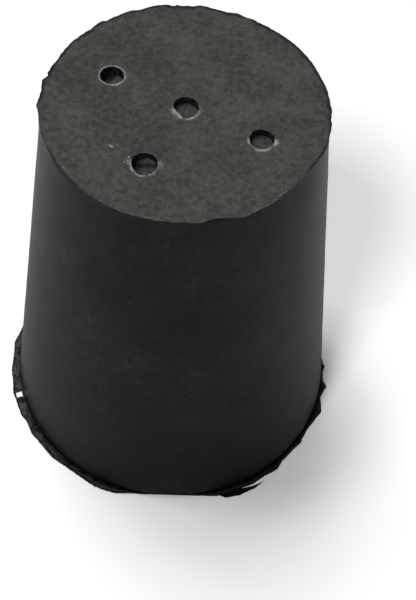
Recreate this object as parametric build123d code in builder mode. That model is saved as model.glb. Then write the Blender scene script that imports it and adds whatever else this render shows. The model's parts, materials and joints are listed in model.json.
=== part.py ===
from build123d import *
import math
import os

os.makedirs("parts", exist_ok=True)

# Moulded rubber stopper, standing on its large end. Millimetres, Z up, origin at the centre of the large face.

# Tapered plug
small_end_d = 18.0
large_end_d = 24.0
height = 30.0
small_rim_radius = 0.3
wall_foot_radius = 0.3

# Needle holes: a torn recess in the small face, a skin left by the mould, and a bore up from the large face
hole_d = 1.55
hole_circle_d = 10.56
hole_spacing = 90.0
outer_hole_count = 3
first_hole_angle = 156.8
bore_cover = 1.2
recess_depth = 0.7
torn_depth = 0.3
# How far each mouth is torn at the sides and in front, the centre one first
mouth_tears = [(0.05, 0.30), (0.02, 0.05), (0.03, 0.28), (0.02, 0.10)]

# Thin ragged lip round the far half of the small face: an angle and a reach beyond the small end's edge
lip_thickness = 0.1
lip_corners = [
    (-25, -0.40), (-12, 0.02), (0, 0.05), (4.8, 0.14), (8, 0.04), (19.6, 0.10), (26, 0.05), (33, 0.09),
    (45, 0.05), (60, 0.07), (75, 0.05), (90, 0.07), (104, 0.05), (118.6, 0.06), (126, 0.03), (132.6, 0.08),
    (137, 0.03), (150, 0.05), (162, 0.02), (168.8, 0.02), (170.9, -0.07), (173.5, 0.14), (178, 0.08),
    (186.6, 0.20), (191, 0.06), (204, 0.02), (215, -0.40),
]

# Moulding flash round the large face, trimmed by hand with straight snips.
# Each corner is an angle in degrees and a reach beyond the large end's edge.
flash_thickness = 0.25
flash_corners = [
    (-49.5, 0.38), (-44.5, 0.55), (-41, 0.32), (-34, 0.28), (-30.5, 0.42), (-25, 0.22), (-20, 0.40),
    (-15.5, 0.67), (-9.5, 0.25), (-4.5, 0.58), (-2, 0.25), (1.5, 0.20), (4, 0.38), (8, 0.20), (14, 0.32),
    (25, 0.36), (42, 0.50), (58, 0.42), (74, 0.55), (90, 0.42), (106, 0.52), (122, 0.44), (138, 0.56),
    (154, 0.42), (169.5, 0.46), (178, 0.72), (184, 0.55), (190, 0.66), (194, 0.60), (199, 0.74),
    (208.5, 0.76), (212, 0.58), (217, 0.71), (226, 0.61), (229, 0.65), (242, 0.50), (248, 0.62),
    (251, 0.58), (264, 0.50), (276, 0.50), (288, 0.45), (300, 0.30),
]

# One long snip along the front goes just inside the large end's edge
snip_angle = -86.0
snip_depth = 0.18

# Strip of flash torn loose beside that snip, still attached at its left end
strip_corners = [
    (-71, -0.30), (-68.5, 0.20), (-66, 0.66), (-61, 0.86), (-55, 0.84), (-51, 0.72), (-55, 0.62),
    (-59, 0.42), (-61, -0.30),
]

# Tear right through the flash on the left
tear_corners = [(197.4, 0.16), (197.8, 0.52), (199.7, 0.56), (200, 0.20)]

small_r = small_end_d / 2
large_r = large_end_d / 2
hole_r = hole_d / 2


def at_edge(angle, reach, edge_radius=large_r):
    """Point in plan at an angle, that far beyond the large end's edge, or beyond another one."""
    radius = edge_radius + reach
    return (radius * math.cos(math.radians(angle)), radius * math.sin(math.radians(angle)))


outer_holes = [first_hole_angle + hole_spacing * i for i in range(outer_hole_count)]
hole_centres = [(0, 0)] + [
    (hole_circle_d / 2 * math.cos(math.radians(a)), hole_circle_d / 2 * math.sin(math.radians(a)))
    for a in outer_holes
]

with BuildPart() as stopper:
    # The taper starts at full width above the rounded foot, where the flash springs from the wall
    foot_z = flash_thickness + wall_foot_radius
    with BuildSketch(Plane.XZ) as half_section:
        with BuildLine():
            foot = Line((large_r - wall_foot_radius, 0), (large_r - wall_foot_radius, flash_thickness))
            RadiusArc(foot @ 1, (large_r, foot_z), -wall_foot_radius)
            Polyline((large_r, foot_z), (small_r, height), (0, height), (0, 0), foot @ 0)
        make_face()
    revolve(axis=Axis.Z)

    small_rim = stopper.edges().filter_by(GeomType.CIRCLE).group_by(Axis.Z)[-1]
    fillet(small_rim, radius=small_rim_radius)

    # Flash in the plane of the large face, then the long snip that also shaves the foot of the wall
    with BuildSketch(Plane.XY) as flash_outline:
        with BuildLine():
            Polyline([at_edge(angle, reach) for angle, reach in flash_corners], close=True)
        make_face()
        with BuildLine():
            Polyline([at_edge(angle, reach) for angle, reach in tear_corners], close=True)
        make_face(mode=Mode.SUBTRACT)
    extrude(amount=flash_thickness)
    snip_direction = Vector(1, 0, 0).rotate(Axis.Z, snip_angle)
    snip_plane = Plane(origin=snip_direction * (large_r - snip_depth), z_dir=snip_direction)
    split(bisect_by=snip_plane, keep=Keep.BOTTOM)

    with BuildSketch(Plane.XY) as torn_strip:
        with BuildLine():
            Polyline([at_edge(angle, reach) for angle, reach in strip_corners], close=True)
        make_face()
    extrude(amount=flash_thickness)

    # Ragged lip, flush with the small face
    with BuildSketch(Plane.XY.offset(height - lip_thickness)) as lip_outline:
        with BuildLine():
            Polyline([at_edge(angle, reach, small_r) for angle, reach in lip_corners], close=True)
        make_face()
    extrude(amount=lip_thickness)

    # Bores up from the large face, each ending below its recess
    with BuildSketch(Plane.XY) as bores:
        with Locations(*hole_centres):
            Circle(hole_r)
    extrude(amount=height - bore_cover, mode=Mode.SUBTRACT)

    # Recesses in the small face, each with a mouth that narrows down to it and is torn longest in front
    with BuildSketch(Plane.XY.offset(height)) as recesses:
        with Locations(*hole_centres):
            Circle(hole_r)
    extrude(amount=-recess_depth, mode=Mode.SUBTRACT)
    for (x, y), (side_tear, front_tear) in zip(hole_centres, mouth_tears):
        with BuildSketch(Plane.XY.offset(height)) as torn_mouth:
            with Locations((x, y - (front_tear - side_tear) / 2)):
                Ellipse(hole_r + side_tear, hole_r + (side_tear + front_tear) / 2)
        with BuildSketch(Plane.XY.offset(height - torn_depth)) as mouth_foot:
            with Locations((x, y)):
                Circle(hole_r)
        loft([torn_mouth.sketch, mouth_foot.sketch], mode=Mode.SUBTRACT)

stopper.part.label = "stopper"
export_step(stopper.part, "parts/stopper.step")
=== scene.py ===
"""Looks of a moulded rubber stopper, standing on its large end: wall, needle holes, flash and studio."""
import json
import math

import bmesh
import bpy
from bpy.props import FloatProperty, FloatVectorProperty, IntProperty, PointerProperty
from bpy.types import Operator, Panel, PropertyGroup
from mathutils import Matrix, Vector, noise


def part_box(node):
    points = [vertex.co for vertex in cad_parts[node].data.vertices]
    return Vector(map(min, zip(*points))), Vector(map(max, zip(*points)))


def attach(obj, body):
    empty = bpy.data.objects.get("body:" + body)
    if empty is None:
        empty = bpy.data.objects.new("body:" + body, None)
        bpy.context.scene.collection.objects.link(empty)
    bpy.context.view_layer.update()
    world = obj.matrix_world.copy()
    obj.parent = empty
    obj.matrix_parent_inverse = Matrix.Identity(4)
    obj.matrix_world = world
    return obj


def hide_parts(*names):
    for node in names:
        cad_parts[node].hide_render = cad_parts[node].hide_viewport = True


bl_info = {
    "name": "Rubber stopper",
    "version": (1, 0, 0),
    "blender": (4, 5, 0),
    "location": "View3D > Sidebar > Stopper",
    "description": "Builds the looks of a moulded rubber stopper round its packed frame",
    "category": "Object",
}

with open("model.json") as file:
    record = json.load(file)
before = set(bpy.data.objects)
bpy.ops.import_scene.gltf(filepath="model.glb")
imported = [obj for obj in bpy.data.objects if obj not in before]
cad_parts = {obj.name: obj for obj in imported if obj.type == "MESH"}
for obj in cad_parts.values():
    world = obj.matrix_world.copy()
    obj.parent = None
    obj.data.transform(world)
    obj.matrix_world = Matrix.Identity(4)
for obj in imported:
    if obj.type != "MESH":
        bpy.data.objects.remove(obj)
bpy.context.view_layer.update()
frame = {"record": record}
BODY = "root"
NODE = "stopper"
MM = 0.001
LOW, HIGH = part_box(NODE)
HEIGHT = HIGH.z - LOW.z
BORES = {m["name"]: m for m in frame["record"]["mounts"] if m["kind"] == "bore"}
BORE_RADIUS = BORES["centre_bore"]["dims"]["r_mm"] * MM
BORE_LENGTH = BORES["centre_bore"]["dims"]["length_mm"] * MM

# Flash round the large face, trimmed by hand with straight snips: angle in degrees, reach past the wall in mm
FLASH_CORNERS = [
    (-55, 0.50), (-49.5, 0.42), (-44.5, 0.55), (-41, 0.32), (-34, 0.28), (-30.5, 0.42), (-25, 0.22),
    (-20, 0.40), (-15.5, 0.67), (-9.5, 0.25), (-4.5, 0.58), (-2, 0.25), (1.5, 0.20), (4, 0.38), (8, 0.20),
    (14, 0.32), (25, 0.36), (42, 0.50), (58, 0.42), (74, 0.55), (90, 0.42), (106, 0.52), (122, 0.44),
    (138, 0.56), (154, 0.42), (169.5, 0.46), (178, 0.72), (184, 0.62), (190, 0.76), (194, 0.68),
    (199, 0.82), (208.5, 0.76), (212, 0.58), (217, 0.71), (226, 0.61), (229, 0.65), (242, 0.50),
    (248, 0.62), (251, 0.58), (264, 0.50), (276, 0.50), (288, 0.45), (300, 0.42),
]
# Strip torn loose at the front right, and the tear right through the flash on the left, in the same values
STRIP_CORNERS = [
    (-71, -0.30), (-68.5, 0.20), (-66, 0.66), (-61, 0.86), (-55, 0.84), (-51, 0.72), (-55, 0.62),
    (-59, 0.42), (-61, -0.30),
]
TEAR_FROM, TEAR_TO = 199.3, 201.8
TEAR_INNER, TEAR_OUTER = 0.10, 0.62

# Thin lip of the small face, ragged behind and trimmed in straight snips in front: angle, reach past the wall
LIP_CORNERS = [
    (-177, 0.12), (-174, 0.24), (-169, 0.12), (-163, 0.15), (-159, 0.15), (-155, 0.12), (-145, 0.18),
    (-140, 0.28), (-130, 0.31), (-119, 0.27), (-107, 0.21), (-98, 0.15), (-92, 0.11), (-85.5, 0.07),
    (-79.5, 0.12), (-76.5, -0.05), (-73, -0.13), (-68, 0.04), (-63, 0.23), (-58, 0.09), (-51, 0.07),
    (-45, -0.10), (-36, -0.10), (-24, -0.04), (-19, 0.06), (-14, 0.14), (-8, 0.08), (-2.5, 0.12), (0.5, 0.03),
    (5.5, 0.13), (8.5, 0.06), (14, 0.09), (27, 0.04), (34, 0.08), (46, 0.07), (61, -0.02), (66, 0.02),
    (69, -0.03), (73, 0.06), (77, -0.10), (82, -0.06), (89, 0.09), (92, -0.06), (97.5, -0.04), (98.5, 0.02),
    (100, -0.06), (102, 0.05), (106, 0.12), (109.5, 0.09), (114.5, -0.05), (118.5, 0.08), (125, 0.02),
    (130, -0.05), (132, 0.11), (136, 0.04), (138, -0.05), (148, 0.04), (161, -0.04), (168.5, 0.07),
    (170, -0.06), (173, 0.20), (178, 0.06),
]
# Pale lines worn along that lip: angle of the middle, half width, how far inside the edge in mm, strength
LIP_WEAR = [
    (-138, 9, 0.36, 0.50), (-122, 9, 0.14, 0.36), (-105, 24, 0.10, 0.36), (-88, 16, 0.24, 0.30),
    (-58, 12, 0.06, 0.40), (-36, 11, 0.32, 0.42), (-46, 8, 0.06, 0.48),
]

# Mouth of each needle hole, in mm and degrees. The floor is how deep the recess is, the ledge how deep its
# raised back part is, with painted shade along its foot, and the hollow the way in which its floor sinks and
# is painted darker, as shade. A tear is the angle it faces, its reach past the round mouth and its half
# width.
# Chalk is the pale dust of torn rubber on the rim: angle, half width, reach and strength.
MOUTHS = {
    "outer_bore_back_left": {
        "floor": 0.76, "ledge": 0.0, "hollow": 150, "radius": 0.765,
        "tears": [(-20, 0.03, 25)],
        "chalk": [
            (0, 400, 0.075, 0.8), (-65, 40, 0.11, 1.0), (-10, 12, 0.14, 0.55), (215, 24, 0.13, 0.35)],
    },
    "centre_bore": {
        "floor": 0.66, "ledge": 0.0, "hollow": None, "radius": 0.80,
        "tears": [
            (-82, 0.17, 20), (-50, 0.07, 28), (215, -0.10, 24), (245, -0.05, 16), (115, 0.04, 9),
            (78, 0.04, 8), (50, 0.03, 8)],
        "chalk": [
            (222, 30, 0.20, 1.0), (250, 14, 0.20, 1.0), (-68, 22, 0.13, 1.0), (-30, 30, 0.20, 0.6),
            (185, 16, 0.10, 0.45)],
    },
    "outer_bore_front": {
        "floor": 0.68, "ledge": 0.46, "hollow": 175, "radius": 0.79,
        "tears": [(-95, 0.16, 34), (-50, 0.06, 24), (150, 0.05, 16), (55, 0.05, 26), (120, 0.04, 14)],
        "chalk": [
            (185, 20, 0.20, 0.75), (215, 20, 0.12, 1.0), (-105, 32, 0.13, 0.75), (0, 26, 0.26, 0.62),
            (-55, 22, 0.12, 0.75), (60, 26, 0.09, 0.4)],
    },
    "outer_bore_right": {
        "floor": 0.62, "ledge": 0.0, "hollow": None, "radius": 0.775,
        "tears": [(-100, 0.06, 40), (130, 0.03, 16), (20, 0.03, 12)],
        "chalk": [
            (200, 20, 0.11, 1.0), (-85, 44, 0.14, 0.95), (-14, 22, 0.20, 1.0), (150, 16, 0.08, 0.4)],
    },
}


def linear(hex_colour):
    """The linear values of an sRGB hex colour."""
    parts = [int(hex_colour[i:i + 2], 16) / 255 for i in (1, 3, 5)]
    return tuple(p / 12.92 if p <= 0.04045 else ((p + 0.055) / 1.055) ** 2.4 for p in parts)


class StopperSizes(PropertyGroup):
    """Sizes of the moulded plug and its flash."""

    small_end: FloatProperty(
        name="Small end", description="Diameter across the small face", default=18.0 * MM, unit="LENGTH")
    large_end: FloatProperty(
        name="Large end", description="Diameter of the wall above the flash", default=24.0 * MM,
        unit="LENGTH")
    height: FloatProperty(
        name="Height", description="From the large face to the small face", default=HEIGHT, unit="LENGTH")
    foot_radius: FloatProperty(
        name="Wall foot", description="Rounding where the wall meets the flash", default=0.3 * MM,
        unit="LENGTH")
    flash_thickness: FloatProperty(
        name="Flash", description="Thickness of the flash at its root", default=0.25 * MM, unit="LENGTH")
    snip_angle: FloatProperty(
        name="Snip angle", description="Way the long front snip faces, from +X", default=math.radians(-86.0),
        subtype="ANGLE")
    snip_depth: FloatProperty(
        name="Snip depth", description="How far the long snip goes inside the wall", default=0.18 * MM,
        unit="LENGTH")
    steps: IntProperty(name="Steps", description="Faces round the wall", default=720, min=48)


class StopperColours(PropertyGroup):
    """Colours of the rubber and of the floor."""

    face: FloatVectorProperty(
        name="Small face", description="Matt moulded face, dulled by bloom", subtype="COLOR",
        default=linear("#484A46"))
    wall: FloatVectorProperty(
        name="Wall", description="Satin wall from the polished mould", subtype="COLOR",
        default=linear("#0C0C10"))
    flash: FloatVectorProperty(
        name="Flash", description="Thin shiny web at the parting line", subtype="COLOR",
        default=linear("#1B1B1C"))
    chalk: FloatVectorProperty(
        name="Torn rubber", description="Pale torn rubber at the mouths", subtype="COLOR",
        default=linear("#989A93"))
    floor: FloatVectorProperty(
        name="Floor", description="Plain white floor, as it lights the stopper", subtype="COLOR",
        default=linear("#BCBCBC"))


class StudioSettings(PropertyGroup):
    """Powers of the lamps, and how bright the white surroundings are."""

    back_energy: FloatProperty(
        name="Back lamp", description="Power of the lamp behind and above", default=8.5, unit="POWER")
    front_energy: FloatProperty(
        name="Front lamp", description="Power of the lamp in front on the left", default=7.9, unit="POWER")
    left_energy: FloatProperty(
        name="Left lamp", description="Power of the lamp on the left", default=4.0, unit="POWER")
    world_strength: FloatProperty(
        name="World", description="Strength of the surroundings as they light the stopper", default=0.02)
    paper_white: FloatProperty(
        name="Paper", description="How white the paper is to the camera and in reflections", default=1.27)


def mm(length):
    """A length in millimetres, the unit that the meshes are modelled in."""
    return length / MM


def clamped(value):
    """A value kept between 0 and 1."""
    return min(1.0, max(0.0, value))


def bell(away, half_width):
    """1 at no distance, falling smoothly to nothing well past the half width."""
    return math.exp(-(away / half_width) ** 2)


def bump_at(angle, centre, half_width):
    """How much of a feature at that centre is felt at an angle, in degrees: 1 at its middle, 0 well away."""
    return bell((angle - centre + 180) % 360 - 180, half_width)


def polar(angle, radius, z=0.0):
    """Point at an angle in degrees and a radius from the axis."""
    return Vector((radius * math.cos(math.radians(angle)), radius * math.sin(math.radians(angle)), z))


def bearing(point):
    """The angle in degrees and the radius at which a point lies in plan."""
    return math.degrees(math.atan2(point.y, point.x)), point.xy.length


def outward(point):
    """The level direction from the axis to a point."""
    return Vector((point.x, point.y, 0)) / point.xy.length


# A turned surface is spun as one sector, and the others are copies, joined where they lie this close, in mm
SECTORS = 12
JOIN_WITHIN = 1e-4


def spin_profile(bm, points, steps, centre=(0, 0, 0)):
    """Adds a profile of (radius, height) points, spun round an upright axis."""
    turned = bmesh.new()
    verts = [turned.verts.new((r, 0, z)) for r, z in points]
    edges = [turned.edges.new(pair) for pair in zip(verts, verts[1:])]
    sector_angle = 2 * math.pi / SECTORS
    bmesh.ops.spin(
        turned, geom=verts + edges, cent=(0, 0, 0), axis=(0, 0, 1), angle=sector_angle,
        steps=steps // SECTORS)
    sector = turned.verts[:] + turned.edges[:] + turned.faces[:]
    for i in range(1, SECTORS):
        made = bmesh.ops.duplicate(turned, geom=sector)["geom"]
        copied = [g for g in made if isinstance(g, bmesh.types.BMVert)]
        turn = Matrix.Rotation(i * sector_angle, 3, "Z")
        bmesh.ops.rotate(turned, cent=(0, 0, 0), matrix=turn, verts=copied)
    bmesh.ops.remove_doubles(turned, verts=turned.verts, dist=JOIN_WITHIN)
    bmesh.ops.translate(turned, vec=centre, verts=turned.verts)
    mesh = bpy.data.meshes.new("turned")
    turned.to_mesh(mesh)
    turned.free()
    bm.from_mesh(mesh)
    bpy.data.meshes.remove(mesh)


def arc_points(centre, radius, start, end, count):
    """Points of an arc in a profile, from one angle to another, in degrees."""
    angles = [math.radians(start + (end - start) * i / count) for i in range(count + 1)]
    return [(centre[0] + radius * math.cos(a), centre[1] + radius * math.sin(a)) for a in angles]


def run_points(start, end, count):
    """Points along a straight run of a profile, both ends included."""
    return [tuple(a + (b - a) * i / count for a, b in zip(start, end)) for i in range(count + 1)]


# How level the ring round a flat face is, in mm, how often a fill's long edges are halved, and the longest
# edge on the small face and on the large one
LEVEL_WITHIN = 1e-3
FILL_ROUNDS = 8
SMALL_FACE_EDGE, LARGE_FACE_EDGE = 0.7, 1.5


def inner_edges(faces, border):
    """The edges of some faces, apart from those of their border, in a fixed order."""
    return [e for e in dict.fromkeys(e for f in faces for e in f.edges) if e not in border]


def fill_flat(bm, height, longest):
    """Fills what is open at a height, inside its outer ring and round its holes, with fair triangles."""
    border = [
        e for e in bm.edges if e.is_boundary and all(abs(v.co.z - height) < LEVEL_WITHIN for v in e.verts)]
    made = bmesh.ops.triangle_fill(bm, edges=border, use_beauty=True, normal=(0, 0, 1))["geom"]
    faces = [g for g in made if isinstance(g, bmesh.types.BMFace)]
    border = set(border)
    for _ in range(FILL_ROUNDS):
        long_ones = [e for e in inner_edges(faces, border) if e.calc_length() > longest]
        if not long_ones:
            break
        cut = bmesh.ops.subdivide_edges(bm, edges=long_ones, cuts=1)["geom"]
        region = [f for f in faces if f.is_valid] + [g for g in cut if isinstance(g, bmesh.types.BMFace)]
        region += [f for g in cut if isinstance(g, bmesh.types.BMVert) for f in g.link_faces]
        faces = bmesh.ops.triangulate(bm, faces=list(dict.fromkeys(region)))["faces"]
        inner = inner_edges(faces, border)
        bmesh.ops.beautify_fill(bm, faces=faces, edges=inner)
        faces = list(dict.fromkeys(f for e in inner if e.is_valid for f in e.link_faces))


def finish_mesh(bm, name, material, sharp=40.0):
    """Turns a bmesh in millimetres into an object in metres that rides on the body."""
    bmesh.ops.recalc_face_normals(bm, faces=bm.faces)
    bmesh.ops.scale(bm, vec=(MM, MM, MM), verts=bm.verts)
    mesh = bpy.data.meshes.new(name)
    mesh.materials.append(material)
    bm.to_mesh(mesh)
    bm.free()
    mesh.shade_smooth()
    mesh.set_sharp_from_angle(angle=math.radians(sharp))
    piece = bpy.data.objects.new(name, mesh)
    bpy.context.scene.collection.objects.link(piece)
    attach(piece, BODY)
    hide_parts(NODE)


def add_node(tree, kind, inputs=None, **settings):
    """Adds a node, gives it its settings, and sets or links its inputs."""
    node = tree.nodes.new(kind)
    for name, value in settings.items():
        setattr(node, name, value)
    for name, value in (inputs or {}).items():
        if isinstance(value, bpy.types.NodeSocket):
            tree.links.new(value, node.inputs[name])
        else:
            node.inputs[name].default_value = value
    return node


def new_material(name):
    """A material with an empty node tree and its output."""
    material = bpy.data.materials.new(name)
    material.use_nodes = True
    tree = material.node_tree
    tree.nodes.clear()
    return material, tree, add_node(tree, "ShaderNodeOutputMaterial")


def in_millimetres(tree):
    """Object coordinates, in millimetres."""
    place = add_node(tree, "ShaderNodeTexCoord")
    scaled = add_node(
        tree, "ShaderNodeMapping", {"Vector": place.outputs["Object"], "Scale": (1 / MM, 1 / MM, 1 / MM)})
    return scaled.outputs["Vector"]


def rgba(colour, share=1.0):
    """A colour, or a share of its brightness, with full alpha."""
    return tuple(c * share for c in colour) + (1.0,)


# Vulcanised natural rubber, compression moulded. The wall comes satin from a polished mould and goes pale
# only at a glancing angle, under a thin film of bloom that fades out towards the foot: painted shade, for the
# shadowed floor that the foot mirrors. The small face is matt and mottled grey-green with the same bloom.
# Torn rubber is pale and chalky. Sizes are in mm.
RUBBER_IOR = 1.52
WALL_ROUGHNESS, FACE_ROUGHNESS = 0.43, 0.85
# Bloom: its speckles, the clouds that they gather in, and how much the clouds count
BLOOM_SPECKLE, BLOOM_CLOUD = 0.38462, 2.38095
CLOUD_SHARE = 0.4
# Film on the wall: its patches, how much of the face's colour it has, and between which heights it comes in;
# below them it fades out, as painted shade at the foot
FILM_PATCH = 7.69231
FILM_LEAST, FILM_MOST = 0.05, 0.16
FILM_FOOT, FILM_WHOLE = 1.0, 14.0
# Chalk: its grain, how much the painted mask is raised, and what its gaps and its whole parts take off again
CHALK_GRAIN = 0.125
CHALK_GAIN, CHALK_GAPS, CHALK_WHOLE = 1.5, -0.80, -0.05
# Fine grain of the moulded skin, and its depth
SKIN_GRAIN, SKIN_RELIEF = 0.2, 0.03


def moulded_rubber(colours):
    material, tree, output = new_material("moulded_rubber")
    place = in_millimetres(tree)
    face_mask = add_node(tree, "ShaderNodeAttribute", attribute_name="bloom")
    chalk_mask = add_node(tree, "ShaderNodeAttribute", attribute_name="chalk")

    # Mottling: speckles gathered into larger clouds, on the face and, much darker, on the wall
    speckle = add_node(
        tree, "ShaderNodeTexNoise",
        {"Vector": place, "Scale": 1 / BLOOM_SPECKLE, "Detail": 5.0, "Roughness": 0.72})
    cloud = add_node(tree, "ShaderNodeTexNoise", {"Vector": place, "Scale": 1 / BLOOM_CLOUD, "Detail": 2.0})
    blend = add_node(
        tree, "ShaderNodeMath", {0: cloud.outputs["Fac"], 1: CLOUD_SHARE, 2: speckle.outputs["Fac"]},
        operation="MULTIPLY_ADD")
    shade = add_node(
        tree, "ShaderNodeMapRange", {"Value": blend.outputs[0], "From Min": 0.55, "From Max": 0.85})
    face_colour = add_node(
        tree, "ShaderNodeMix",
        {"Factor": shade.outputs["Result"], "A": rgba(colours.face, 0.66), "B": rgba(colours.face, 1.34)},
        data_type="RGBA")
    wall_colour = add_node(
        tree, "ShaderNodeMix",
        {"Factor": shade.outputs["Result"], "A": rgba(colours.wall, 0.6), "B": rgba(colours.wall, 1.4)},
        data_type="RGBA")

    # Film of bloom on the wall: broad patches, mottled as the face is, and faded towards the foot as painted
    # shade
    film = add_node(
        tree, "ShaderNodeTexNoise",
        {"Vector": place, "Scale": 1 / FILM_PATCH, "Detail": 5.0, "Roughness": 0.62})
    filmed = add_node(
        tree, "ShaderNodeMapRange",
        {"Value": film.outputs["Fac"], "From Min": 0.38, "From Max": 0.64, "To Min": FILM_LEAST,
         "To Max": FILM_MOST})
    level = add_node(tree, "ShaderNodeSeparateXYZ", {"Vector": place})
    # Painted shade: the film fades out towards the foot, so the wall is painted darker there
    foot_shade = add_node(
        tree, "ShaderNodeMapRange",
        {"Value": level.outputs["Z"], "From Min": FILM_FOOT, "From Max": FILM_WHOLE, "To Min": 0.1,
         "To Max": 1.0})
    thin_film = add_node(
        tree, "ShaderNodeMath", {0: filmed.outputs["Result"], 1: foot_shade.outputs["Result"]},
        operation="MULTIPLY")
    mottled = add_node(
        tree, "ShaderNodeMapRange", {"Value": shade.outputs["Result"], "To Min": 0.5, "To Max": 1.5})
    patchy_film = add_node(
        tree, "ShaderNodeMath", {0: thin_film.outputs[0], 1: mottled.outputs["Result"]},
        operation="MULTIPLY")
    bloomed = add_node(
        tree, "ShaderNodeMath", {0: face_mask.outputs["Fac"], 1: patchy_film.outputs[0]},
        operation="MAXIMUM")
    rubber = add_node(
        tree, "ShaderNodeMix",
        {"Factor": bloomed.outputs[0], "A": wall_colour.outputs["Result"],
         "B": face_colour.outputs["Result"]},
        data_type="RGBA")

    # Chalk of torn rubber, crumbly, and only where it is painted
    crumbly = add_node(
        tree, "ShaderNodeTexNoise",
        {"Vector": place, "Scale": 1 / CHALK_GRAIN, "Detail": 3.0, "Roughness": 0.65})
    broken = add_node(
        tree, "ShaderNodeMapRange",
        {"Value": crumbly.outputs["Fac"], "From Min": 0.32, "From Max": 0.68, "To Min": CHALK_GAPS,
         "To Max": CHALK_WHOLE})
    chalky = add_node(
        tree, "ShaderNodeMath", {0: chalk_mask.outputs["Fac"], 1: CHALK_GAIN, 2: broken.outputs["Result"]},
        operation="MULTIPLY_ADD", use_clamp=True)
    colour = add_node(
        tree, "ShaderNodeMix",
        {"Factor": chalky.outputs[0], "A": rubber.outputs["Result"], "B": rgba(colours.chalk)},
        data_type="RGBA")

    # Skin: satin on the wall, matt and grained on the face
    roughness = add_node(
        tree, "ShaderNodeMapRange",
        {"Value": face_mask.outputs["Fac"], "To Min": WALL_ROUGHNESS, "To Max": FACE_ROUGHNESS})
    grain = add_node(
        tree, "ShaderNodeTexNoise",
        {"Vector": place, "Scale": 1 / SKIN_GRAIN, "Detail": 4.0, "Roughness": 0.6})
    depth = add_node(
        tree, "ShaderNodeMapRange", {"Value": face_mask.outputs["Fac"], "To Min": 0.06, "To Max": 0.5})
    relief = add_node(
        tree, "ShaderNodeBump",
        {"Height": grain.outputs["Fac"], "Strength": depth.outputs["Result"], "Distance": SKIN_RELIEF * MM})
    shader = add_node(
        tree, "ShaderNodeBsdfPrincipled",
        {"Base Color": colour.outputs["Result"], "Roughness": roughness.outputs["Result"],
         "IOR": RUBBER_IOR, "Specular IOR Level": 0.085, "Normal": relief.outputs["Normal"]})
    tree.links.new(shader.outputs["BSDF"], output.inputs["Surface"])
    return material


# The same rubber where it squeezed out between the mould halves: a thin web, shinier than the wall, with a
# creased skin, so it shows small glints. Its colour holds painted light and shade: grey ridges on the lit
# left, near black in its folds and everywhere else. Sizes are in mm.
CREASE_WIDTH, CREASE_RELIEF = 0.55556, 0.06


def flash_rubber(colours):
    material, tree, output = new_material("flash_rubber")
    place = in_millimetres(tree)
    creases = add_node(
        tree, "ShaderNodeTexNoise",
        {"Vector": place, "Scale": 1 / CREASE_WIDTH, "Detail": 3.0, "Roughness": 0.6})
    shade = add_node(
        tree, "ShaderNodeMapRange", {"Value": creases.outputs["Fac"], "From Min": 0.35, "From Max": 0.65})
    # Painted light: the creases' ridges are painted grey for the lamps' light on the flash, the folds near
    # black as shade
    skin = add_node(
        tree, "ShaderNodeMix",
        {"Factor": shade.outputs["Result"], "A": rgba(colours.flash, 1.2), "B": rgba(colours.flash, 7.5)},
        data_type="RGBA")
    # Painted shade: this mask darkens the flash to near black everywhere but on the lit left
    flash_shade_mask = add_node(tree, "ShaderNodeAttribute", attribute_name="torn")
    colour = add_node(
        tree, "ShaderNodeMix",
        {"Factor": flash_shade_mask.outputs["Fac"], "A": skin.outputs["Result"], "B": rgba(colours.flash, 0.15)},
        data_type="RGBA")
    gloss = add_node(
        tree, "ShaderNodeMapRange",
        {"Value": creases.outputs["Fac"], "From Min": 0.35, "From Max": 0.65, "To Min": 0.45, "To Max": 0.28})
    relief = add_node(
        tree, "ShaderNodeBump",
        {"Height": creases.outputs["Fac"], "Strength": 0.5, "Distance": CREASE_RELIEF * MM})
    shader = add_node(
        tree, "ShaderNodeBsdfPrincipled",
        {"Base Color": colour.outputs["Result"], "Roughness": gloss.outputs["Result"], "IOR": RUBBER_IOR,
         "Specular IOR Level": 0.06, "Normal": relief.outputs["Normal"]})
    tree.links.new(shader.outputs["BSDF"], output.inputs["Surface"])
    return material


# Crumbs of torn rubber: pale and dusty with the filler inside it where they are fresh, grey where they lie
# flat. Their grain is in mm.
CRUMB_GRAIN = 0.125


def rubber_crumb(colours):
    material, tree, output = new_material("rubber_crumb")
    place = in_millimetres(tree)
    grain = add_node(tree, "ShaderNodeTexNoise", {"Vector": place, "Scale": 1 / CRUMB_GRAIN, "Detail": 2.0})
    dusty = add_node(
        tree, "ShaderNodeMix",
        {"Factor": grain.outputs["Fac"], "A": rgba(colours.chalk, 0.35), "B": rgba(colours.chalk, 1.2)},
        data_type="RGBA")
    fresh = add_node(tree, "ShaderNodeAttribute", attribute_name="dust")
    colour = add_node(
        tree, "ShaderNodeMix",
        {"Factor": fresh.outputs["Fac"], "A": rgba(colours.wall), "B": dusty.outputs["Result"]},
        data_type="RGBA")
    shader = add_node(
        tree, "ShaderNodeBsdfPrincipled",
        {"Base Color": colour.outputs["Result"], "Roughness": 0.9, "IOR": RUBBER_IOR,
         "Specular IOR Level": 0.2})
    tree.links.new(shader.outputs["BSDF"], output.inputs["Surface"])
    return material


# Plain white studio paper, over-exposed to the camera, so that only the stopper's own shadow shows on it.
# Close to the stopper it lies in the stopper's shade, so it is mirrored darker there: at that share up to the
# first distance, and in full from the second one on, both in mm.
SHADED_TO, CLEAR_FROM = 12.0, 55.0
SHADED_SHARE = 0.25


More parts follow.
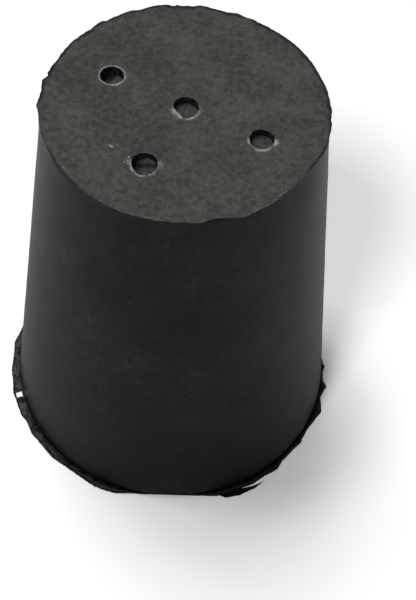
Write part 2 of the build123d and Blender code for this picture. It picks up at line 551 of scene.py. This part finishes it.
def studio_paper(colours, studio):
    material, tree, output = new_material("studio_paper")
    place = add_node(tree, "ShaderNodeTexCoord")
    away = add_node(tree, "ShaderNodeVectorMath", {0: place.outputs["Object"]}, operation="LENGTH")
    clear = add_node(
        tree, "ShaderNodeMapRange",
        {"Value": away.outputs["Value"], "From Min": SHADED_TO * MM, "From Max": CLEAR_FROM * MM,
         "To Min": SHADED_SHARE, "To Max": 1.0})
    white = add_node(
        tree, "ShaderNodeMix",
        {"Factor": seen_directly(tree, clear.outputs["Result"]), "A": rgba(colours.floor),
         "B": rgba((studio.paper_white,) * 3)},
        data_type="RGBA")
    paper = add_node(tree, "ShaderNodeBsdfDiffuse", {"Color": white.outputs["Result"]})
    tree.links.new(paper.outputs["BSDF"], output.inputs["Surface"])
    return material


def seen_directly(tree, reflected):
    """1 where the camera sees a surface, a share of it in mirrors and through glass, 0 for bounced light."""
    rays = add_node(tree, "ShaderNodeLightPath")
    mirrored = add_node(
        tree, "ShaderNodeMath", {0: rays.outputs["Is Glossy Ray"], 1: rays.outputs["Is Transmission Ray"]},
        operation="MAXIMUM")
    dimmed = add_node(tree, "ShaderNodeMath", {0: mirrored.outputs[0], 1: reflected}, operation="MULTIPLY")
    seen = add_node(
        tree, "ShaderNodeMath", {0: rays.outputs["Is Camera Ray"], 1: dimmed.outputs[0]}, operation="MAXIMUM")
    return seen.outputs[0]


# The moulded face lies this far below the top, in mm, so that raised rims and crumbs stay within the height
FACE_DROP = 0.06
# Round patch of the face that is spun with each hole, in mm, and the steps round a mouth and round a bore
PATCH_RADIUS = 1.75
MOUTH_STEPS = 132
BORE_STEPS = 60
# Steps of that patch, as reaches past the mouth
PATCH_REACHES = (0.82, 0.66, 0.53, 0.43, 0.35, 0.29, 0.24, 0.20, 0.165, 0.135, 0.105, 0.08, 0.055)
# Deeper than any recess, how far down the rim goes, and how far above its floor a recess's foot starts
RECESS_REACH = 1.1
RIM_DEPTH = 0.05
FOOT_ABOVE_FLOOR = 0.11
# Share of a recess's depth down to which its tears are felt, and how deep a hollow floor sinks
TORN_SHARE = 0.75
HOLLOW_DEPTH = 0.12
# How far the chalk spreads past its reach, how soon it has its full strength, and how high and rough it is
CHALK_SPREAD = 1.45
CHALK_FULL = 1.15
CHALK_HEIGHT, CHALK_RELIEF = 0.014, 0.03


def hole_profile(mouth, height):
    """Profile of a needle hole's recess and the ring of face round it, from outside to its floor's centre."""
    radius = mouth["radius"]
    floor = height - mouth["floor"]
    ring = [(PATCH_RADIUS, height)] + [(radius + reach, height) for reach in PATCH_REACHES]
    lip = arc_points((radius + 0.02, height - 0.02), 0.02, 90, 180, 3)
    wall = run_points((radius, height - 0.06), (radius - 0.02, floor + 0.12), 9)
    foot = arc_points((radius - 0.12, floor + 0.10), 0.10, 0, -90, 4)
    shares = (0.76, 0.68, 0.60, 0.52, 0.44, 0.36, 0.28, 0.20, 0.10, 0.0)
    return ring + lip + wall + foot + [(radius * share, floor) for share in shares]


def tear_at(mouth, angle):
    """How far a mouth is torn past its round shape at an angle, in mm."""
    radius = mouth["radius"]
    tear = sum(reach * bump_at(angle, facing, half) for facing, reach, half in mouth["tears"])
    tear += 0.035 * noise.noise(polar(angle, 3.2, 9.0 * radius))
    return tear + 0.035 * noise.noise(polar(angle, 8.0, 4.0 * radius))


def chalk_at(mouth, angle, rim_away):
    """How strong the chalk is at an angle and a distance from a mouth's rim."""
    dust = 0.0
    for facing, half, reach, strength in mouth["chalk"]:
        worn = bump_at(angle, facing, half) * bell(rim_away, CHALK_SPREAD * reach)
        dust = max(dust, strength * min(1.0, CHALK_FULL * worn))
    return dust


def shape_floor(v, away, mouth, bloom):
    """Roughens a point of a recess's floor, sinks or raises it at a hollow or a ledge, and paints shade in
    the hollow and at the ledge's foot.
    """
    v[bloom] = 0.85 + 0.5 * noise.noise(v.co * 4.0)
    v.co.z += 0.03 * noise.noise(v.co * 2.5) + 0.02 * noise.noise(v.co * 6.0)
    if mouth["hollow"] is not None:
        along = away.xy.dot(polar(mouth["hollow"], 1.0).xy) / mouth["radius"]
        sunk = clamped((along + 0.2 * noise.noise(v.co * 3.0) - 0.05) / 0.4)
        v.co.z -= HOLLOW_DEPTH * sunk
        # Painted shade: the floor is painted darker where it sinks into the hollow
        v[bloom] *= 1.0 - 0.75 * sunk
    if mouth["ledge"]:
        back = away.y / mouth["radius"] + 0.10 * noise.noise((away.x * 3, 0.0, 5.0))
        v.co.z += (mouth["floor"] - mouth["ledge"]) * clamped((back - 0.44) / 0.12)
        # Painted shade: a dark line along the foot of the ledge
        v[bloom] *= 1.0 - bell(back - 0.40, 0.10)


def shape_hole(bm, chalk, bloom, centre, mouth, height):
    """Tears a hole's mouth out of round, shapes its floor and paints shade on it, and dusts its rim with
    chalk and bloom.
    """
    radius = mouth["radius"]
    for v in bm.verts:
        depth = height - v.co.z
        away = v.co - centre
        angle, out = bearing(away)
        if depth > RECESS_REACH or out > PATCH_RADIUS - LEVEL_WITHIN:
            continue
        v[bloom] = 1.0 if depth < 0.01 else 0.0
        if depth > mouth["floor"] - FOOT_ABOVE_FLOOR:
            shape_floor(v, away, mouth, bloom)
        if out < JOIN_WITHIN:
            continue
        if out <= radius + 0.03:
            felt = max(0.0, 1.0 - depth / (TORN_SHARE * mouth["floor"])) * min(1.0, out / radius)
        else:
            felt = max(0.0, (PATCH_RADIUS - out) / (PATCH_RADIUS - radius - 0.03))
        v.co += outward(away) * tear_at(mouth, angle) * felt
        if depth <= RIM_DEPTH:
            v[chalk] = chalk_at(mouth, angle, abs(out - radius - 0.02))
            fleck = 0.5 * noise.noise(v.co * 6.0) + 0.5 * noise.noise(v.co * 13.0)
            v.co.z += v[chalk] * (CHALK_HEIGHT + CHALK_RELIEF * fleck)
        elif depth < mouth["floor"] - FOOT_ABOVE_FLOOR:
            v.co += outward(away) * 0.02 * noise.noise(v.co * 4.0)
            v[bloom] = max(0.0, 0.16 + 0.5 * noise.noise(v.co * 4.0))


# Lip of the small face, in mm: its thickness, how far in from the wall it is drawn out, and its undercut
LIP_THICKNESS = 0.09
LIP_INNER = 0.5
UNDERCUT = 0.2
# Width of the band inside the small rim that is spun with the wall, and how wide the worn lines are
RIM_BAND = 1.2
WEAR_WIDTH = 0.07
# Band of painted shade inside the lip's edge, where the bloom is left off: the shade under the lip in front
# and along the far rim's edge. It runs round the far half, and in front it is felt at these angles, with a
# half width and a share. Its width, how far it pulls back elsewhere, and the blend from it to the bloom
SHADE_BAND_IN_FRONT = [(-134, 24, 1.0), (-20, 13, 0.9)]
SHADE_BAND_WIDTH, SHADE_BAND_BACK, BLOOM_BLEND = 0.20, 0.12, 0.18
# Flat worn on the wall under the lip: angle, half width, depth and how far down it reaches
FLAT_ANGLE, FLAT_HALF, FLAT_DEPTH, FLAT_DOWN = -40, 13, 0.08, 2.5
# Above this height the wall is a little uneven
UNEVEN_FROM = 1.0


def wall_profile(sizes, height):
    """Profile of the plug from inside the small rim, over its lip and down the wall, to the large face."""
    small, large = mm(sizes.small_end) / 2, mm(sizes.large_end) / 2
    foot, flash = mm(sizes.foot_radius), mm(sizes.flash_thickness)
    lean = math.degrees(math.atan2(large - small, height - flash - foot))
    insets = (RIM_BAND, 0.9, 0.7, 0.56, 0.46, 0.39, 0.33, 0.27, 0.21, 0.16, 0.12, 0.08, 0.04)
    face = [(small - inset, height) for inset in insets]
    lip = [(small, height), (small + 0.01, height - 0.03), (small, height - LIP_THICKNESS)]
    foot_arc = arc_points((large - foot, flash + foot), foot, lean, -90, 8)
    root = (small - 0.01, height - UNDERCUT)
    wall = [root] + [
        (root[0] + drop * math.tan(math.radians(lean)), root[1] - drop) for drop in (0.04, 0.10, 0.2)]
    wall += run_points(wall[-1], foot_arc[0], 44)[1:]
    under = [(large - foot, flash * 0.5), (large - foot, 0.0), (large - foot - 0.6, 0.0)]
    return face + lip + wall[:-1] + foot_arc + under


def make_body(sizes, colours):
    """The plug: spun wall, four needle holes, two filled faces, and the long snip at its foot."""
    height = mm(sizes.height) - FACE_DROP
    bm = bmesh.new()
    spin_profile(bm, wall_profile(sizes, height), sizes.steps)
    bore = mm(BORE_RADIUS)
    for name, mount in BORES.items():
        mouth = MOUTHS[name]
        place = Vector(mount["pos_m"]) / MM
        spin_profile(bm, hole_profile(mouth, height), MOUTH_STEPS, place)
        under = [(bore + 0.5, 0), (bore + 0.08, 0), (bore, 0.08)]
        under += run_points((bore, 0.08), (bore, mm(BORE_LENGTH)), 6)[1:] + [(0, mm(BORE_LENGTH))]
        spin_profile(bm, under, BORE_STEPS, place)
    chalk = bm.verts.layers.float.new("chalk")
    bloom = bm.verts.layers.float.new("bloom")
    for name, mount in BORES.items():
        shape_hole(bm, chalk, bloom, Vector(mount["pos_m"]) / MM, MOUTHS[name], height)
    fill_flat(bm, height, SMALL_FACE_EDGE)
    fill_flat(bm, 0.0, LARGE_FACE_EDGE)
    facing = Vector((math.cos(sizes.snip_angle), math.sin(sizes.snip_angle), 0))
    cut = facing * mm(sizes.large_end / 2 - sizes.snip_depth)
    bmesh.ops.bisect_plane(
        bm, geom=bm.verts[:] + bm.edges[:] + bm.faces[:], plane_co=cut, plane_no=facing, clear_outer=True)
    snipped = [e for e in bm.edges if e.is_boundary]
    bmesh.ops.triangle_fill(bm, edges=snipped, use_beauty=True, normal=facing)
    weather_and_shade(bm, bloom, chalk, mm(sizes.small_end) / 2, height)
    finish_mesh(bm, "moulded_body", moulded_rubber(colours))


def between(corners, angle):
    """The value at an angle on straight lines between corners of (angle, value), sorted over one turn."""
    closed = [(corners[-1][0] - 360, corners[-1][1])] + corners + [(corners[0][0] + 360, corners[0][1])]
    for (a, value_a), (b, value_b) in zip(closed, closed[1:]):
        if a <= angle <= b:
            return value_a + (value_b - value_a) * (angle - a) / (b - a)
    raise RuntimeError(f"the outline is open at {angle:.1f} degrees")


def lip_reach(angle):
    """How far the small face's lip reaches past the wall at an angle: straight snips, a little ragged."""
    ragged = 0.03 * noise.noise(polar(angle, 24.0, 6.0)) + 0.03 * noise.noise(polar(angle, 55.0, 3.0))
    return between(LIP_CORNERS, (angle + 180) % 360 - 180) + ragged


def dark_band(angle):
    """Width of the band of painted shade inside the lip's edge at an angle, in mm."""
    back = 1.05 * clamped((math.sin(math.radians(angle)) + 0.35) / 0.4)
    # Painted shade: how strongly the dark band is felt, round the far half and at the front angles
    rolled = max([back] + [share * bump_at(angle, facing, half) for facing, half, share in SHADE_BAND_IN_FRONT])
    width = (SHADE_BAND_WIDTH + 0.16 * noise.noise(polar(angle, 12.0, 2.0))) * rolled
    return width - SHADE_BAND_BACK * (1 - min(1.0, rolled))


def shape_lip(v, bloom, chalk, small, drop):
    """Draws a point at the small rim out to the lip, and paints the bloom, the band of painted shade inside
    its edge and the worn lines there.
    """
    angle, out = bearing(v.co)
    reach = lip_reach(angle)
    v.co += outward(v.co) * reach * clamped((out - small + LIP_INNER) / LIP_INNER)
    inset = small + reach - v.co.xy.length
    # Painted shade: the bloom is left off in the dark band inside the lip's edge
    v[bloom] = clamped((inset - dark_band(angle)) / BLOOM_BLEND + 0.5) if drop < 0.02 else 0.0
    if drop < 0.05:
        v[chalk] = max(
            strength * bump_at(angle, facing, half) * bell(inset - inside, WEAR_WIDTH)
            for facing, half, inside, strength in LIP_WEAR)


def weather_and_shade(bm, bloom, chalk, small, height):
    """Shapes the small face's lip, spreads the bloom inside it with a band of painted shade along its edge,
    and makes the wall a little uneven.
    """
    for v in bm.verts:
        angle, out = bearing(v.co)
        drop = height - v.co.z
        if out < small - RIM_BAND + 0.05:
            if abs(drop) < 0.01:
                v[bloom] = 1.0
        elif drop < UNDERCUT - 0.02:
            shape_lip(v, bloom, chalk, small, drop)
        elif v.co.z > UNEVEN_FROM:
            worn = FLAT_DEPTH * bump_at(angle, FLAT_ANGLE, FLAT_HALF) * max(0.0, 1.0 - drop / FLAT_DOWN)
            v.co -= outward(v.co) * worn
            v.co += outward(v.co) * (0.018 * noise.noise(v.co * 0.35) + 0.006 * noise.noise(v.co * 1.4))


def corner_points(corners, radius):
    """Corners of a snipped outline in plan."""
    return [polar(angle, radius + reach) for angle, reach in corners]


def outline_radius(points, angle):
    """How far a snipped outline lies from the axis at an angle in degrees."""
    ray = polar(angle, 1.0)
    for a, b in zip(points, points[1:] + points[:1]):
        span = b - a
        cross = ray.x * span.y - ray.y * span.x
        if abs(cross) < 1e-9:
            continue
        along = (a.x * span.y - a.y * span.x) / cross
        share = (a.x * ray.y - a.y * ray.x) / cross
        if along > 0 and -1e-6 <= share <= 1 + 1e-6:
            return along
    raise RuntimeError(f"the outline is open at {angle:.1f} degrees")


# Steps round the flash, the radius in mm at which it leaves the large face, how thin it may get, and how far
# it ends inside the long snip
FLASH_STEPS = 900
FLASH_ROOT = 11.6
THINNEST_WEB = 0.06
INSIDE_SNIP = 0.02
# Steps across the flash, as shares of its width from the root out
FLASH_SHARES = [0.0, 0.25] + [0.35 + 0.65 * i / 12 for i in range(13)]
# Where the flash is painted lit, on the left: angle and half width. Elsewhere it is painted dark, as the
# stopper's shade
LIT_ANGLE, LIT_HALF = 193, 42
# How far each snip's corner stands up from the floor beside the others, as a share
CORNER_LIFTS = sorted(
    (corner % 360, 0.5 + noise.noise((i * 7.3, 1.7, 4.1))) for i, (corner, _) in enumerate(FLASH_CORNERS))


def flash_reach(outline, angle, sizes):
    """How far from the axis the flash's edge lies at an angle: straight snips, a little ragged."""
    ragged = 0.07 * abs(noise.noise(polar(angle, 36.0, 1.0)))
    ragged += 0.05 * abs(noise.noise(polar(angle, 80.0, 5.0)))
    reach = outline_radius(outline, angle) - ragged
    turned = math.cos(math.radians(angle) - sizes.snip_angle)
    if turned > 0.5:
        reach = min(reach, (mm(sizes.large_end / 2 - sizes.snip_depth) - INSIDE_SNIP) / turned)
    return reach


def flash_section(angle, past, thick):
    """How far the flash is lifted and how thick it is, at an angle and a share of the way out."""
    wave = noise.noise(polar(angle, 9.0, 1.0)) + 0.5 * noise.noise(polar(angle, 26.0, 3.0 * past))
    turned = max(angle % 360, CORNER_LIFTS[0][0])
    lift = past * (0.10 * between(CORNER_LIFTS, turned) + 0.05 * wave)
    ridge = 0.05 * bell(past - 0.55, 0.22) * (1.0 + wave)
    groove = 0.03 * bell(past, 0.12)
    rolled = 0.09 * max(0.0, (past - 0.80) / 0.20) ** 2
    return max(0.0, lift), max(THINNEST_WEB, thick * (1.0 - 0.45 * past) + ridge - groove - rolled)


def flash_shade_at(angle, past):
    """Painted shade of the flash at an angle and a share out: dark but on the lit left, in creases, at root
    and edge.
    """
    across = Vector((1.1, 0.5, 1.6)) * past
    crease = noise.noise(polar(angle, 28.0, 8.0) + across)
    crease += 0.6 * noise.noise(polar(angle, 70.0, 2.0) + across)
    shut = 0.97 - 0.92 * bump_at(angle, LIT_ANGLE, LIT_HALF) + 1.8 * max(0.0, crease - 0.10)
    return min(1.0, max(shut, bell(past - 1.0, 0.13), bell(past, 0.14)))


def make_base_flash(sizes, colours):
    """The thin web round the large face, trimmed in straight snips, creased, and torn through on the left."""
    large = mm(sizes.large_end) / 2
    thick = mm(sizes.flash_thickness)
    outline = corner_points(FLASH_CORNERS, large)
    bm = bmesh.new()
    top = [(FLASH_ROOT + share, thick) for share in FLASH_SHARES]
    edge = [(FLASH_ROOT + 1.0, thick * 0.5)]
    bottom = [(r, 0.0) for r, _ in reversed(top)]
    spin_profile(bm, top + edge + bottom + top[:1], FLASH_STEPS)
    torn = bm.verts.layers.float.new("torn")
    for v in bm.verts:
        angle, out = bearing(v.co)
        reach = flash_reach(outline, angle, sizes)
        new_out = FLASH_ROOT + clamped(out - FLASH_ROOT) * (reach - FLASH_ROOT)
        past = max(0.0, (new_out - large + 0.02) / (max(reach - large, 0.05) + 0.02))
        lift, web = flash_section(angle, past, thick)
        # Painted light and shade of the flash
        v[torn] = flash_shade_at(angle, past)
        v.co = polar(angle, new_out, lift + web * v.co.z / thick)
    tear_through(bm, large)
    finish_mesh(bm, "base_flash", flash_rubber(colours), 30.0)


def tear_through(bm, large):
    """Opens the tear on the left: the skin above and below it goes, and the two edges are joined."""
    doomed = []
    for f in bm.faces:
        angle, out = bearing(f.calc_center_median())
        if TEAR_FROM < angle % 360 < TEAR_TO and TEAR_INNER < out - large < TEAR_OUTER:
            doomed.append(f)
    bmesh.ops.delete(bm, geom=doomed, context="FACES")
    bmesh.ops.bridge_loops(bm, edges=[e for e in bm.edges if e.is_boundary])


# The strip is painted dark almost all over, as the shade in front of the stopper. Its joined end in degrees,
# and over how many it comes loose
STRIP_SHADE = 0.8
STRIP_END, STRIP_LOOSE_OVER = -70, 18
STRIP_LONGEST_EDGE = 0.25


def make_torn_strip(sizes, colours):
    """The strip of flash torn loose beside the long snip, still joined at its left end."""
    large = mm(sizes.large_end) / 2
    bm = bmesh.new()
    verts = [bm.verts.new(p) for p in corner_points(STRIP_CORNERS, large)]
    edges = [bm.edges.new(pair) for pair in zip(verts, verts[1:] + verts[:1])]
    bmesh.ops.subdivide_edges(bm, edges=edges, cuts=6)
    bmesh.ops.triangle_fill(bm, edges=bm.edges[:], use_beauty=True, normal=(0, 0, 1))
    inner = [e for e in bm.edges if e.calc_length() > STRIP_LONGEST_EDGE]
    bmesh.ops.subdivide_edges(bm, edges=inner, cuts=1)
    bmesh.ops.triangulate(bm, faces=bm.faces[:])
    up = bmesh.ops.extrude_face_region(bm, geom=bm.faces[:])["geom"]
    top = {g for g in up if isinstance(g, bmesh.types.BMVert)}
    torn = bm.verts.layers.float.new("torn")
    for v in bm.verts:
        # Painted shade: the strip lies in the stopper's shade
        v[torn] = STRIP_SHADE
        free = clamped((bearing(v.co)[0] - STRIP_END) / STRIP_LOOSE_OVER)
        v.co.x += 0.02 * noise.noise(v.co * 4)
        v.co.y += 0.02 * noise.noise(v.co * 4 + Vector((9, 0, 0)))
        wave = 0.10 * free * free + 0.05 * noise.noise((v.co.x * 1.6, v.co.y * 1.6, 2.0)) * free
        v.co.z = max(0.0, wave) + (mm(sizes.flash_thickness) * (1 - 0.6 * free) if v in top else 0.0)
    finish_mesh(bm, "torn_strip", flash_rubber(colours), 30.0)


# Crumbs beside the mouths: bore, place from its axis in mm, size in mm
MOUTH_CRUMBS = [
    ("outer_bore_front", (-0.98, 0.34), 0.095), ("outer_bore_front", (-1.00, 0.02), 0.095),
    ("outer_bore_front", (-1.22, -0.08), 0.065), ("outer_bore_front", (-1.12, 0.18), 0.06),
    ("outer_bore_front", (-0.88, 0.20), 0.04), ("outer_bore_back_left", (0.92, -0.06), 0.05),
    ("outer_bore_back_left", (0.96, 0.18), 0.035), ("outer_bore_right", (-0.88, 0.10), 0.045),
]
# Loose flecks on the face: place in mm, size, stretch and turn. On the wall: angle, height, size and how tall
FACE_FLECKS = [
    ((-4.20, -3.79), 0.085, 2.1, -38.0), ((-1.97, -7.96), 0.04, 1.8, 15.0), ((5.05, -6.93), 0.035, 2.0, 20.0),
    ((-0.96, -8.50), 0.03, 1.0, 0.0), ((2.30, 5.59), 0.025, 1.0, 0.0), ((-2.16, 5.64), 0.025, 1.0, 0.0),
]
WALL_FLECKS = [
    (-104.2, 21.9, 0.05, 1.2), (-68.3, 24.0, 0.055, 1.5), (-132.7, 29.1, 0.05, 1.0),
    (-139.5, 14.4, 0.07, 2.0), (-141.7, 12.9, 0.055, 2.0), (-140.6, 13.5, 0.05, 1.6),
    (-94.0, 26.9, 0.035, 1.0), (-63.6, 22.2, 0.035, 1.6),
]
# How pale a crumb at a mouth and a fleck on the wall are, and the size from which a face's fleck is palest
MOUTH_PALENESS, WALL_PALENESS = 0.9, 0.4
PALEST_SIZE = 0.06
# How thick crumbs and flecks are for their width, on the face and on the wall
FACE_THICKNESS, WALL_THICKNESS = 0.75, 0.6


def make_crumbs(sizes, colours):
    """Crumbs of torn rubber at the holes' mouths and loose flecks on the face and the wall."""
    top = mm(sizes.height) - FACE_DROP + 0.01
    taper = mm(sizes.large_end - sizes.small_end) / 2 / mm(sizes.height)
    crumbs = []
    for bore, (x, y), size in MOUTH_CRUMBS:
        centre = Vector(BORES[bore]["pos_m"]) / MM
        place = Vector((centre.x + x, centre.y + y, top))
        crumbs.append((place, size, (1, 1, FACE_THICKNESS), 0, MOUTH_PALENESS))
    for (x, y), size, stretch, turn in FACE_FLECKS:
        paleness = min(1.0, size / PALEST_SIZE)
        crumbs.append((Vector((x, y, top)), size, (stretch, 1, FACE_THICKNESS), turn, paleness))
    for angle, height, size, tall in WALL_FLECKS:
        place = polar(angle, mm(sizes.large_end) / 2 - taper * height, height)
        crumbs.append((place, size, (1, WALL_THICKNESS, tall), angle + 90, WALL_PALENESS))
    bm = bmesh.new()
    dust = bm.verts.layers.float.new("dust")
    for seed, crumb in enumerate(crumbs, 1):
        add_crumb(bm, dust, seed, *crumb)
    finish_mesh(bm, "rubber_crumbs", rubber_crumb(colours), 60.0)


def add_crumb(bm, dust, seed, place, size, stretch, turn, paleness):
    """One rough crumb, sunk a little into what it lies on, and no higher than the stopper."""
    made = bmesh.ops.create_icosphere(bm, subdivisions=3, radius=size)["verts"]
    for v in made:
        v.co *= 1.0 + 0.45 * noise.noise(v.co * (1.6 / size) + Vector((seed * 3.1, 0, 0)))
        v.co = Vector(a * b for a, b in zip(v.co, stretch))
        v[dust] = paleness
    bmesh.ops.rotate(bm, cent=(0, 0, 0), matrix=Matrix.Rotation(math.radians(turn), 3, "Z"), verts=made)
    bmesh.ops.translate(bm, vec=place, verts=made)
    for v in made:
        v.co.z = min(v.co.z, mm(HEIGHT))


# Radius of the sheet of paper, in metres
FLOOR_RADIUS = 0.45


def make_floor(colours, studio):
    """A wide round sheet of white paper under the stopper."""
    bm = bmesh.new()
    bmesh.ops.create_circle(bm, cap_ends=True, segments=96, radius=FLOOR_RADIUS)
    mesh = bpy.data.meshes.new("floor")
    bm.to_mesh(mesh)
    bm.free()
    mesh.materials.append(studio_paper(colours, studio))
    floor = bpy.data.objects.new("floor", mesh)
    bpy.context.scene.collection.objects.link(floor)


def make_world(studio):
    """White surroundings: plain white to the camera and to reflections, and a soft fill on the stopper."""
    world = bpy.data.worlds.new("studio")
    world.use_nodes = True
    tree = world.node_tree
    tree.nodes.clear()
    seen = add_node(
        tree, "ShaderNodeMapRange",
        {"Value": seen_directly(tree, 1.0), "To Min": studio.world_strength, "To Max": 1.0})
    sky = add_node(
        tree, "ShaderNodeBackground", {"Color": (1, 1, 1, 1), "Strength": seen.outputs["Result"]})
    output = add_node(tree, "ShaderNodeOutputWorld")
    tree.links.new(sky.outputs["Background"], output.inputs["Surface"])
    bpy.context.scene.world = world


# Lamps of the studio: azimuth from +X and elevation in degrees, size in metres, and how far off all stand
BACK_LAMP = {"azimuth": 120.0, "elevation": 70.0, "size": 0.48}
FRONT_LAMP = {"azimuth": 240.0, "elevation": 56.0, "size": 0.30}
LEFT_LAMP = {"azimuth": 160.0, "elevation": 74.0, "size": 0.24}
LAMP_DISTANCE = 1.5


def make_lamp(name, lamp, energy):
    """A square soft lamp that faces the stopper."""
    data = bpy.data.lights.new(name, "AREA")
    data.size = lamp["size"]
    data.energy = energy
    azimuth, elevation = math.radians(lamp["azimuth"]), math.radians(lamp["elevation"])
    level = Vector((math.cos(azimuth), math.sin(azimuth), 0))
    away = level * math.cos(elevation) + Vector((0, 0, math.sin(elevation)))
    middle = Vector((0, 0, HEIGHT / 2))
    place = middle + away * LAMP_DISTANCE
    turn = (-away).to_track_quat("-Z", "Y").to_matrix().to_4x4()
    lamp_object = bpy.data.objects.new(name, data)
    lamp_object.matrix_world = Matrix.Translation(place) @ turn
    bpy.context.scene.collection.objects.link(lamp_object)


# The photograph's view: where the camera stands in metres, how far it looks down and leans, its focal length
# in pixels of a picture 600 pixels high, and the width of its sensor in mm
CAMERA_PLACE = Vector((2.47, -57.16, 91.83)) * MM
CAMERA_PITCH = math.radians(55.33)
CAMERA_ROLL = math.radians(5.31)
CAMERA_FOCAL = 1345.0
PICTURE_HEIGHT = 600
SENSOR = 36.0


def make_camera():
    """The camera at the photograph's angle."""
    data = bpy.data.cameras.new("camera")
    data.sensor_fit = "AUTO"
    data.sensor_width = SENSOR
    data.lens = CAMERA_FOCAL / PICTURE_HEIGHT * SENSOR
    data.clip_start = MM
    ahead = Vector((0, math.cos(CAMERA_PITCH), -math.sin(CAMERA_PITCH)))
    level, over = Vector((1, 0, 0)), Vector((0, math.sin(CAMERA_PITCH), math.cos(CAMERA_PITCH)))
    right = level * math.cos(CAMERA_ROLL) + over * math.sin(CAMERA_ROLL)
    up = over * math.cos(CAMERA_ROLL) - level * math.sin(CAMERA_ROLL)
    camera = bpy.data.objects.new("camera", data)
    turn = Matrix((right, up, -ahead)).transposed().to_4x4()
    camera.matrix_world = Matrix.Translation(CAMERA_PLACE) @ turn
    bpy.context.scene.collection.objects.link(camera)
    bpy.context.scene.camera = camera


class STOPPER_OT_moulded_body(Operator):
    """Make the tapered plug with its needle holes"""

    bl_idname = "stopper.moulded_body"
    bl_label = "Moulded body"

    def execute(self, context):
        make_body(context.scene.stopper_sizes, context.scene.stopper_colours)
        return {"FINISHED"}


class STOPPER_OT_base_flash(Operator):
    """Make the trimmed flash round the large face and its torn strip"""

    bl_idname = "stopper.base_flash"
    bl_label = "Base flash"

    def execute(self, context):
        make_base_flash(context.scene.stopper_sizes, context.scene.stopper_colours)
        make_torn_strip(context.scene.stopper_sizes, context.scene.stopper_colours)
        return {"FINISHED"}


class STOPPER_OT_crumbs(Operator):
    """Make the crumbs of torn rubber at the mouths and the loose flecks"""

    bl_idname = "stopper.crumbs"
    bl_label = "Crumbs"

    def execute(self, context):
        make_crumbs(context.scene.stopper_sizes, context.scene.stopper_colours)
        return {"FINISHED"}


class STOPPER_OT_stage(Operator):
    """Make the white floor, the lamps and the camera"""

    bl_idname = "stopper.stage"
    bl_label = "Stage"

    def execute(self, context):
        scene = context.scene
        scene.view_settings.view_transform = "Standard"
        make_floor(scene.stopper_colours, scene.stopper_studio)
        make_world(scene.stopper_studio)
        make_lamp("back_lamp", BACK_LAMP, scene.stopper_studio.back_energy)
        make_lamp("front_lamp", FRONT_LAMP, scene.stopper_studio.front_energy)
        make_lamp("left_lamp", LEFT_LAMP, scene.stopper_studio.left_energy)
        make_camera()
        return {"FINISHED"}


class STOPPER_PT_panel(Panel):
    """Lists the stopper's pieces and its sizes"""

    bl_idname = "STOPPER_PT_panel"
    bl_label = "Rubber stopper"
    bl_space_type = "VIEW_3D"
    bl_region_type = "UI"
    bl_category = "Stopper"

    def draw(self, context):
        scene = context.scene
        for group in (scene.stopper_sizes, scene.stopper_colours, scene.stopper_studio):
            box = self.layout.box()
            for name in group.__annotations__:
                box.prop(group, name)
        for operator in OPERATORS:
            self.layout.operator(operator.bl_idname)


GROUPS = {"stopper_sizes": StopperSizes, "stopper_colours": StopperColours, "stopper_studio": StudioSettings}
OPERATORS = (
    STOPPER_OT_moulded_body, STOPPER_OT_base_flash, STOPPER_OT_crumbs, STOPPER_OT_stage)


def register():
    for name, group in GROUPS.items():
        bpy.utils.register_class(group)
        setattr(bpy.types.Scene, name, PointerProperty(type=group))
    for item in OPERATORS + (STOPPER_PT_panel,):
        bpy.utils.register_class(item)


def unregister():
    for item in reversed(OPERATORS + (STOPPER_PT_panel,)):
        bpy.utils.unregister_class(item)
    for name, group in GROUPS.items():
        delattr(bpy.types.Scene, name)
        bpy.utils.unregister_class(group)


def main():
    register()
    bpy.ops.stopper.moulded_body()
    bpy.ops.stopper.base_flash()
    bpy.ops.stopper.crumbs()
    bpy.ops.stopper.stage()


if __name__ == "__main__":
    main()
